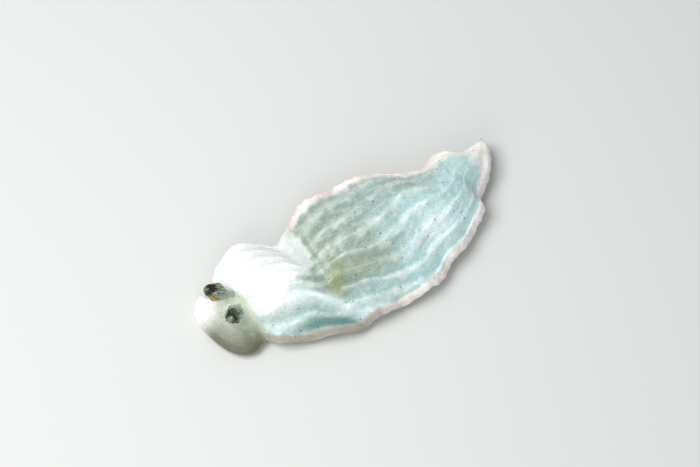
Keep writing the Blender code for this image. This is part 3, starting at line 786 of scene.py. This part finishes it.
def mark_skin(mesh, shape):
    """Store how strongly each marking shows at each point of the skin."""
    count = len(mesh.vertices)
    read = {}
    for name in ("along", "lane", "upper"):
        values = np.zeros(count, np.float32)
        mesh.attributes[name].data.foreach_get("value", values)
        read[name] = values.astype(float)
    place = np.zeros(3 * count, np.float32)
    mesh.vertices.foreach_get("co", place)
    x, y = place.reshape(-1, 3).astype(float).T[:2]
    u, lane, upper = read["along"], read["lane"], read["upper"]
    v = across(u, lane)
    under = 1 - upper
    behind = u - crease_at(v)
    streaks = crest_of(u, lane)

    # the rim is uneven, and wider on the right of the back and at the tail
    uneven = 1 + 0.35 * ripple(u * 12, np.sign(v), 9.0)
    wider = 1 + RIM_WIDER_RIGHT * ramp(v, 0.0, 0.5) * ramp(u, 0.3, 0.4) + RIM_WIDER_TAIL * ramp(u, 0.8, 0.9)
    width = shape.rim_width * uneven * wider
    rim = 1 - ramp(from_edge(u, v), RIM_SOFTNESS[0] * width, RIM_SOFTNESS[1] * width)

    # the lobe's white, partly its pale flesh and partly a painted pool of light, ends sharply at the crease
    # on the right and fades out before it on the left, where the fading is painted shade
    diffuse = 1 - ramp(v, -0.3, 0.3)
    edge = behind + LOBE_SPREAD * diffuse + 0.008 * ripple(u * 10, v * 3, 15.0)
    lobe = 1 - ramp(edge / (0.012 + 0.04 * diffuse), -1.0, 0.6)

    # olive: a patch behind the crease on the left, a thin line along it on the right, and the gut below
    reach = 0.024 + 0.018 * bump(v + 0.25, 0.2)
    band = bump((behind - OLIVE_BEHIND_CREASE + 0.05 * np.maximum(0.0, -v)) / reach, 1.0)
    band = band * (0.25 + 0.75 * bump(v + 0.3, 0.28)) * (1 - ramp(-v, 0.6, 0.75))
    line = bump(behind - 0.01, 0.006) * ramp(v, -0.3, 0.0) * (1 - ramp(v, 0.6, 0.8))
    gut = bump(u - 0.39, 0.08) * bump(v + 0.38, 0.16)

    # the fold: a painted highlight along its crest and painted shade in the trough outside it
    fold_top = bump(v - fold_line(u), 0.13) * ramp(u, 0.08, 0.18) * (1 - ramp(u, 0.36, 0.42))
    trough = ramp(fold_line(u) - v, 0.1, 0.35) * (1 - ramp(-v, 0.84, 0.94))
    trough = trough * ramp(u, 0.05, 0.18) * (1 - ramp(u, 0.3, 0.36)) * (1 - 0.55 * streaks)

    # bluer toward the rear; bluer and brighter toward the left as painted light, and greyer on the right of
    # the front and middle as painted shade; the streaks fainter toward the tail and on the right
    right_painted_shade = 0.7 * ramp(v, 0.0, 0.4) * (1 - ramp(u, 0.7, 0.86))
    cool = ramp(u + 0.06 * ripple(u * 5, v, 12.0), 0.42, 0.6) * (1 - right_painted_shade)
    faint = np.maximum(0.85 * ramp(u, 0.58, 0.82), 0.45 * ramp(v, 0.3, 0.6) * ramp(u, 0.4, 0.5))

    side = (x - VEIL_CENTRE[0]) * -math.sin(HEAD_YAW) + (y - VEIL_CENTRE[1]) * math.cos(HEAD_YAW)
    # the rim is hidden where the lobe's white, partly painted light, covers it
    rim_shows = (1 - 0.85 * lobe * ramp(v, -0.6, -0.2)) * np.maximum(ramp(u, 0.0, 0.04), ramp(-v, 0.5, 0.8))
    tail_from = u + 0.06 * ramp(v, 0.1, 0.7) + 0.015 * ripple(u * 9, v * 2, 14.0)
    marks = {
        "crest": streaks ** 0.8 * (1 - faint) + 0.4 * faint,
        # the rear's own blue, with painted light added toward the left
        "cool": np.clip(cool + 0.6 * ramp(-v, 0.3, 0.7), 0, 1),
        "olive": np.clip(0.85 * band + 0.5 * line + 0.4 * gut, 0, 1),
        "trough": 0.85 * trough,
        # painted light on the lobe over its pale flesh, with painted shade fading it toward the left
        "white": lobe * (1 - 0.85 * ramp(-v, 0.3, 0.7)) * (1 - 0.16 * ramp(u, 0.17, 0.27)),
        "rim": rim * rim_shows,
        "tail": ramp(tail_from, 0.865, 0.925),
        # painted highlight on the left of the rear and on the crest of the left fold
        "glow": np.maximum(0.8 * bump(u - 0.64, 0.08) * bump(v + 0.5, 0.28), 0.65 * fold_top),
        "pale": bump(np.hypot((x - PALE_HEAD[0]) / 1.1, y - PALE_HEAD[1]), 0.8) * under,
        # painted shade on the left front of the rim
        "shade": 0.8 * ramp(-v, 0.5, 0.9) * (1 - ramp(u, 0.3, 0.45)),
        "flank": under,
        "head": ramp(-x, 5.1, 5.6) * under,
        # painted shade across the veil away from its lit side, partly its clear flesh
        "clear": 1 - ramp(side, -0.15, 1.2),
    }
    for name, values in marks.items():
        layer = mesh.attributes.new(name, "FLOAT", "POINT")
        layer.data.foreach_set("value", values.astype(np.float32))


def rhinophore(name, sizes):
    """A stalk with a club of lengthwise leaves, a dark ring and a pale cap at its tip."""
    root, lean = RHINOPHORES[name]
    seed = float(name == "rhinophore_left")
    bm = bmesh.new()
    bmesh.ops.create_uvsphere(bm, u_segments=FACES_PER_LAMELLA * sizes.lamellae, v_segments=90, radius=1.0)
    sphere = np.array([vert.co for vert in bm.verts])
    share = np.arccos(np.clip(-sphere[:, 2], -1, 1)) / math.pi
    angle = np.arctan2(sphere[:, 1], sphere[:, 0])
    aside, ahead = np.cos(angle), np.sin(angle)
    height = share * (sizes.length + ROOT_DEPTH) - ROOT_DEPTH
    club = np.clip((height / sizes.length - STALK_SHARE) / (1 - STALK_SHARE), 0.0, 1.0)
    wander = 0.25 * ripple(aside + seed, ahead + 0.8 * club, 2.0)
    leaf = np.abs(np.cos(sizes.lamellae * (angle + wander) / 2)) ** 1.2
    swell = np.sin(math.pi * np.minimum(1.0, 0.2 + 0.8 * club)) ** 0.55
    swell = swell * (1 + 0.12 * ripple(0.6 * aside + seed, 0.6 * ahead + 1.3 * club, 5.0))
    depth = LAMELLA_DEPTH * np.minimum(1.0, 5 * club) * (1 - ramp(club, 0.82, 0.97))
    stalk = STALK_RADIUS * np.minimum(1.0, share / 0.04) * (1 - club)
    radius = np.maximum(stalk, sizes.club_radius * swell * (1 - depth * (1 - leaf)) * (club > 0))
    radius = np.where(share >= 0.9999, 0.0, radius)
    facing = aside * AMBER_SIDE[0] + ahead * AMBER_SIDE[1] + 0.25 * (leaf - 1)
    marks = {
        "club": np.minimum(1.0, 6 * club),
        "leaf": leaf,
        "ring": bump(club - TIP_RING, 0.12),
        "root": (1 - ramp(club, 0.4, 0.7)) * (1 - 0.9 * ramp(leaf, 0.55, 0.9)),
        "tip": ramp(club, 0.955, 0.98),
        "amber": 0.85 * ramp(facing, 0.72, 1.0) * bump(club - 0.55, 0.3) * (1 - seed),
    }
    for mark, values in marks.items():
        layer = bm.verts.layers.float.new(mark)
        for vert, value in zip(bm.verts, values):
            vert[layer] = value
    for vert, place in zip(bm.verts, np.stack([radius * aside, radius * ahead, height], axis=-1)):
        vert.co = place
    turn = Vector((0, 0, 1)).rotation_difference(Vector(lean)).to_matrix()
    bmesh.ops.rotate(bm, cent=(0, 0, 0), matrix=turn, verts=bm.verts)
    bmesh.ops.translate(bm, vec=(*root, ROOT_HEIGHT), verts=bm.verts)
    return bm


class SLUG_OT_skin(Operator):
    """Grow the mantle, trunk, foot, head and oral veil as one skin"""
    bl_idname = "slug.skin"
    bl_label = "Skin"

    def execute(self, context):
        shape, colours = in_mm(context.scene.slug_shape), context.scene.slug_colours
        skin = mantle_object(shape)
        body = body_object(shape)
        union = skin.modifiers.new("union", "BOOLEAN")
        union.operation = "UNION"
        # the exact solver drops the body where its fine faces meet the mantle's
        union.solver = "MANIFOLD"
        union.object = body
        settle(skin)
        bpy.data.objects.remove(body, do_unlink=True)
        if sum(len(face.vertices) - 2 for face in skin.data.polygons) > MOST_TRIANGLES:
            raise RuntimeError("the skin is too fine")
        skin.name = "skin"
        skin.data.name = "skin"
        mark_skin(skin.data, shape)
        skin.data.transform(Matrix.Diagonal((MM, MM, MM, 1.0)))
        skin.data.materials.clear()
        skin.data.materials.append(wet_skin(colours))
        skin.data.shade_smooth()
        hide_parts(*FLESH_NODES)
        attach(skin, "root")
        return {"FINISHED"}


class SLUG_OT_rhinophores(Operator):
    """Model the two ribbed rhinophores, their roots sunk in the head"""
    bl_idname = "slug.rhinophores"
    bl_label = "Rhinophores"

    def execute(self, context):
        sizes = in_mm(context.scene.slug_rhinophores)
        skin = rhinophore_skin(context.scene.slug_colours)
        for name in RHINOPHORES:
            piece = make_object(name + "_skin", rhinophore(name, sizes), MM)
            piece.data.materials.append(skin)
            piece.data.shade_smooth()
            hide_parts(name)
            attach(piece, "root")
        return {"FINISHED"}


class SLUG_OT_stage(Operator):
    """Lay the pale floor, hang the soft lights and set the camera"""
    bl_idname = "slug.stage"
    bl_label = "Stage"

    def execute(self, context):
        stage = context.scene.slug_stage
        bm = bmesh.new()
        bmesh.ops.create_grid(bm, x_segments=1, y_segments=1, size=FLOOR_HALF_SIDE)
        floor = make_object("floor", bm, MM)
        floor.data.materials.append(floor_paint(stage.floor))

        world = bpy.data.worlds.new("studio")
        world.use_nodes = True
        sky = world.node_tree.nodes["Background"]
        sky.inputs["Color"].default_value = SKY
        sky.inputs["Strength"].default_value = SKY_STRENGTH
        context.scene.world = world

        target = Vector(CAMERA_TARGET) * MM
        for name, (way, distance, size) in LAMPS.items():
            light = bpy.data.lights.new(name, "AREA")
            light.size = size * MM
            light.energy = getattr(stage, name)
            lamp = bpy.data.objects.new(name, light)
            lamp.location = target + Vector(way).normalized() * distance * MM
            lamp.rotation_euler = Vector(way).to_track_quat("Z", "Y").to_euler()
            context.scene.collection.objects.link(lamp)

        level = math.cos(CAMERA_HEIGHT_ANGLE)
        back = Vector((math.sin(CAMERA_AZIMUTH) * level, -math.cos(CAMERA_AZIMUTH) * level,
                       math.sin(CAMERA_HEIGHT_ANGLE)))
        data = bpy.data.cameras.new("camera")
        data.lens = CAMERA_LENS
        data.sensor_width = CAMERA_SENSOR
        data.clip_start = 1.0 * MM
        data.clip_end = 10.0
        camera = bpy.data.objects.new("camera", data)
        camera.location = target + back * CAMERA_DISTANCE * MM
        camera.rotation_euler = back.to_track_quat("Z", "Y").to_euler()
        context.scene.collection.objects.link(camera)
        context.scene.camera = camera
        context.scene.view_settings.view_transform = "Standard"
        return {"FINISHED"}


class SLUG_PT_panel(Panel):
    """Sizes, colours and steps of the sea slug"""
    bl_idname = "SLUG_PT_panel"
    bl_label = "Sea slug"
    bl_space_type = "VIEW_3D"
    bl_region_type = "UI"
    bl_category = "Sea slug"

    def draw(self, context):
        scene = context.scene
        for group in (scene.slug_shape, scene.slug_colours, scene.slug_rhinophores, scene.slug_stage):
            box = self.layout.box()
            for name in group.__annotations__:
                box.prop(group, name)
        for step in OPERATORS:
            self.layout.operator(step.bl_idname)


OPERATORS = (SLUG_OT_skin, SLUG_OT_rhinophores, SLUG_OT_stage)
GROUPS = {"slug_shape": SlugShape, "slug_colours": SlugColours, "slug_rhinophores": SlugRhinophores,
          "slug_stage": SlugStage}


def register():
    for cls in (*GROUPS.values(), *OPERATORS, SLUG_PT_panel):
        bpy.utils.register_class(cls)
    for name, group in GROUPS.items():
        setattr(bpy.types.Scene, name, PointerProperty(type=group))


def unregister():
    for name in GROUPS:
        delattr(bpy.types.Scene, name)
    for cls in reversed((*GROUPS.values(), *OPERATORS, SLUG_PT_panel)):
        bpy.utils.unregister_class(cls)


def main():
    register()
    bpy.ops.slug.skin()
    bpy.ops.slug.rhinophores()
    bpy.ops.slug.stage()


if __name__ == "__main__":
    main()
